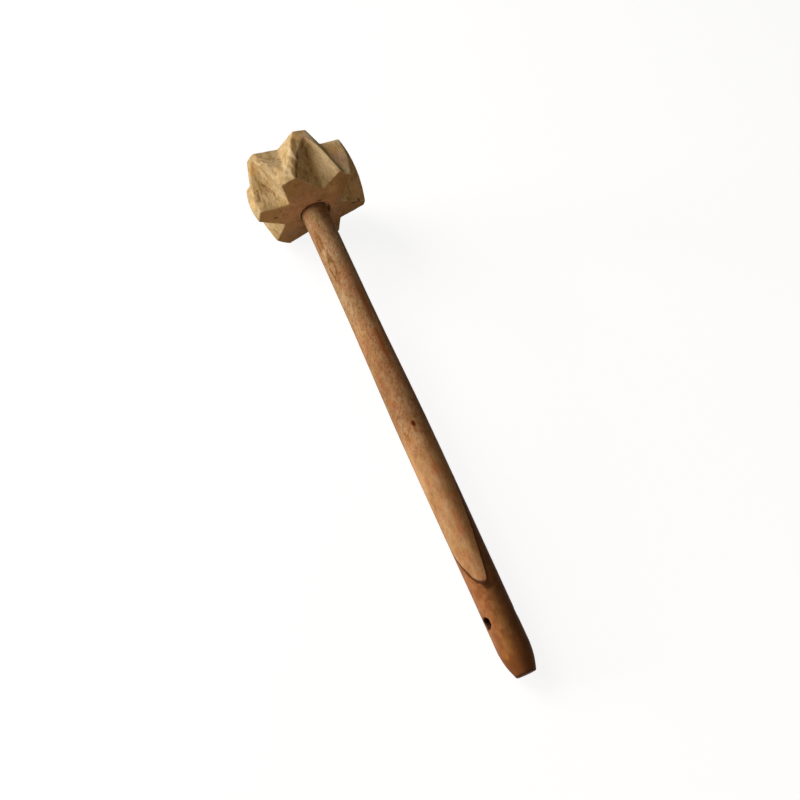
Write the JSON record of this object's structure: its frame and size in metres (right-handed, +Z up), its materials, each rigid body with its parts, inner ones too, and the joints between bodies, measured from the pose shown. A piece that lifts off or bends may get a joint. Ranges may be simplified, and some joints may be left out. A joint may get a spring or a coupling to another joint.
{
  "type": "wooden churning stick",
  "caption": "Hand churning stick: a star-cut wooden head wedged on the end of a long turned handle with a hanging hole and a tapered tip.",
  "frame": {"origin": "bottom centre of the bounding box, on the table under the middle of the stick", "axes": "+X along the stick towards the handle's end, +Z up from the table, +Y across the stick"},
  "size_m": [0.324, 0.0678, 0.0676],
  "materials": {
    "head_wood": "bare pale hardwood, carved, with darker end grain on the star faces",
    "handle_wood": "oiled reddish-brown hardwood with a paler streak of sapwood, smooth turned",
    "wedge_wood": "bare dark hardwood, split and sawn"
  },
  "bodies": {
    "root": {"churn_head": "head_wood", "handle": "handle_wood", "tenon_wedge": "wedge_wood"}
  },
  "joints": []
}
